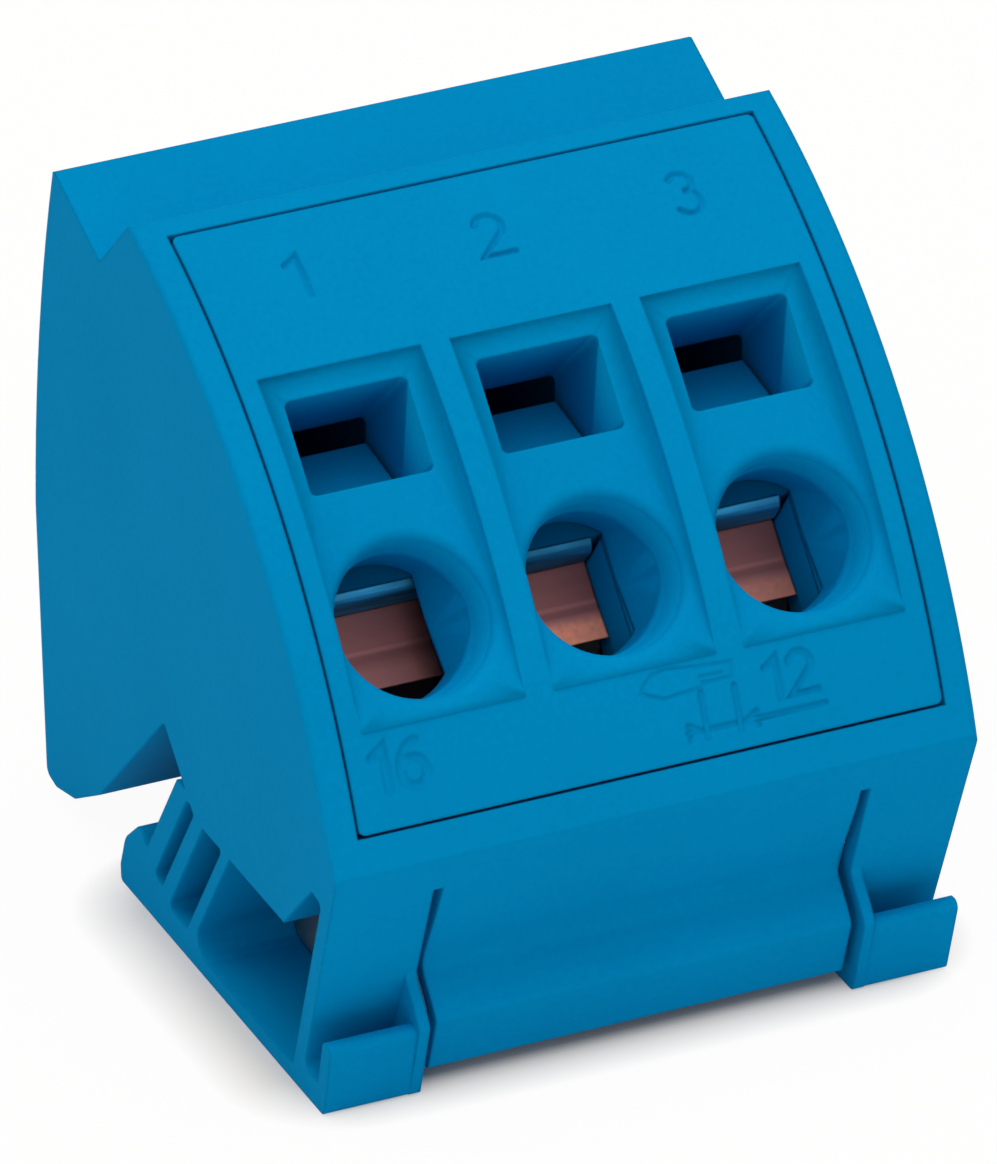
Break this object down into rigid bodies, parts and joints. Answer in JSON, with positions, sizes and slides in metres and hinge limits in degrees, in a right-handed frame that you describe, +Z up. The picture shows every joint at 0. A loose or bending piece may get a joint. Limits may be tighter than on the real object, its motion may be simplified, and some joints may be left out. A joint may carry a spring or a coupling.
{
  "type": "terminal block",
  "caption": "Wedge-shaped moulded terminal block with a bowed front cover, sunk lanes with tool slots over round conductor entries, and a sprung clip foot.",
  "frame": {"origin": "middle of the block's outline on the surface that the foot stands on", "axes": "+X along the row of poles, the bowed front faces -Y, +Z up"},
  "size_m": [0.0406, 0.0432, 0.0455],
  "materials": {
    "housing_plastic": "satin, fine grain",
    "cover_plastic": "satin, fine grain",
    "copper": "bare rolled copper",
    "spring_steel": "bright rolled strip"
  },
  "bodies": {
    "root": {"housing": "housing_plastic", "front_cover": "cover_plastic", "current_bar": "copper", "clamp_spring_1": "spring_steel", "clamp_spring_2": "spring_steel", "clamp_spring_3": "spring_steel"}
  },
  "joints": []
}
